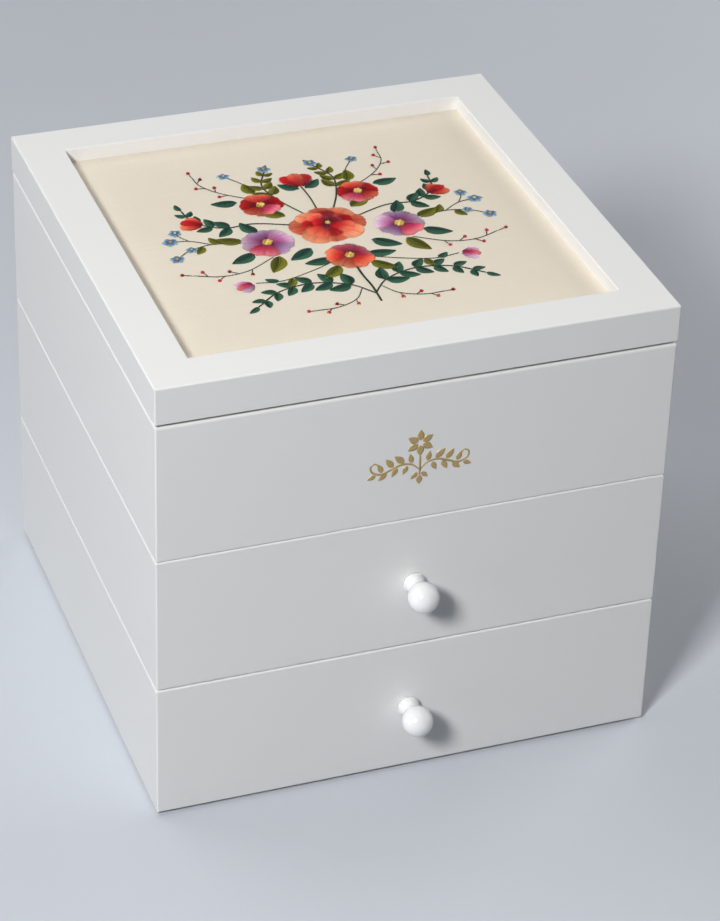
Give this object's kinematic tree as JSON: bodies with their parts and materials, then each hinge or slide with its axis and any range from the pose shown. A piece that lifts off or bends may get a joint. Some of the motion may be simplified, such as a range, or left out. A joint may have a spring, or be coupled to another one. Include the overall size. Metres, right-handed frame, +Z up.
{
  "type": "thread drawer box",
  "caption": "Square white wooden box in stacked levels: a hinged lid with an embroidered fabric panel over an open compartment, and drawers with ball knobs below.",
  "frame": {"origin": "centre of the whole object's footprint, knobs and hinges included, on the surface it stands on", "axes": "+X to the right along the width, +Y towards the hinged back, drawers pull out along -Y, +Z up"},
  "size_m": [0.331, 0.3646, 0.3133],
  "materials": {
    "painted_wood": "white satin paint over sanded board",
    "glossy_knob": "white gloss lacquer",
    "embroidered_cloth": "cream plain-weave cotton with coloured floss stitching",
    "grey_board": "raw board",
    "bare_wood": "unfinished beech",
    "felt": "pressed felt",
    "brass": "satin brass",
    "screw_steel": "zinc-plated"
  },
  "bodies": {
    "case": {"lower_case_left_side": "painted_wood", "lower_case_right_side": "painted_wood", "lower_case_back": "painted_wood", "lower_case_floor": "painted_wood", "upper_case_left_side": "painted_wood", "upper_case_right_side": "painted_wood", "upper_case_back": "painted_wood", "upper_case_floor": "painted_wood", "top_box_front": "painted_wood", "top_box_left_side": "painted_wood", "top_box_right_side": "painted_wood", "top_box_back": "painted_wood", "top_box_floor": "painted_wood", "case_dowels": "bare_wood", "felt_feet": "felt", "hinge_case_leaves": "brass", "hinge_pins": "brass", "hinge_case_screws": "brass"},
    "lid": {"lid_front_rail": "painted_wood", "lid_right_rail": "painted_wood", "lid_back_rail": "painted_wood", "lid_left_rail": "painted_wood", "lid_fabric": "embroidered_cloth", "lid_insert_board": "grey_board", "lid_backing": "painted_wood", "lid_backing_screws": "screw_steel", "hinge_lid_leaves": "brass", "hinge_lid_screws": "brass"},
    "lower_drawer": {"lower_drawer_front": "painted_wood", "lower_drawer_box_front": "painted_wood", "lower_drawer_left_side": "painted_wood", "lower_drawer_right_side": "painted_wood", "lower_drawer_back": "painted_wood", "lower_drawer_bottom": "painted_wood", "lower_drawer_row_divider": "painted_wood", "lower_drawer_cell_dividers": "painted_wood", "lower_drawer_knob": "glossy_knob", "lower_drawer_knob_screw": "screw_steel"},
    "upper_drawer": {"upper_drawer_front": "painted_wood", "upper_drawer_box_front": "painted_wood", "upper_drawer_left_side": "painted_wood", "upper_drawer_right_side": "painted_wood", "upper_drawer_back": "painted_wood", "upper_drawer_bottom": "painted_wood", "upper_drawer_row_divider": "painted_wood", "upper_drawer_cell_dividers": "painted_wood", "upper_drawer_knob": "glossy_knob", "upper_drawer_knob_screw": "screw_steel"}
  },
  "joints": [
    {"name": "lid_hinge", "type": "hinge", "parent": "case", "child": "lid", "pos_m": [0, 0.1778, 0.28765], "axis": [-1, 0, 0], "range_deg": [0, 97]},
    {"name": "lower_drawer_slide", "type": "slide", "parent": "case", "child": "lower_drawer", "axis": [0, -1, 0], "range_m": [0, 0.22]},
    {"name": "upper_drawer_slide", "type": "slide", "parent": "case", "child": "upper_drawer", "axis": [0, -1, 0], "range_m": [0, 0.22]}
  ]
}
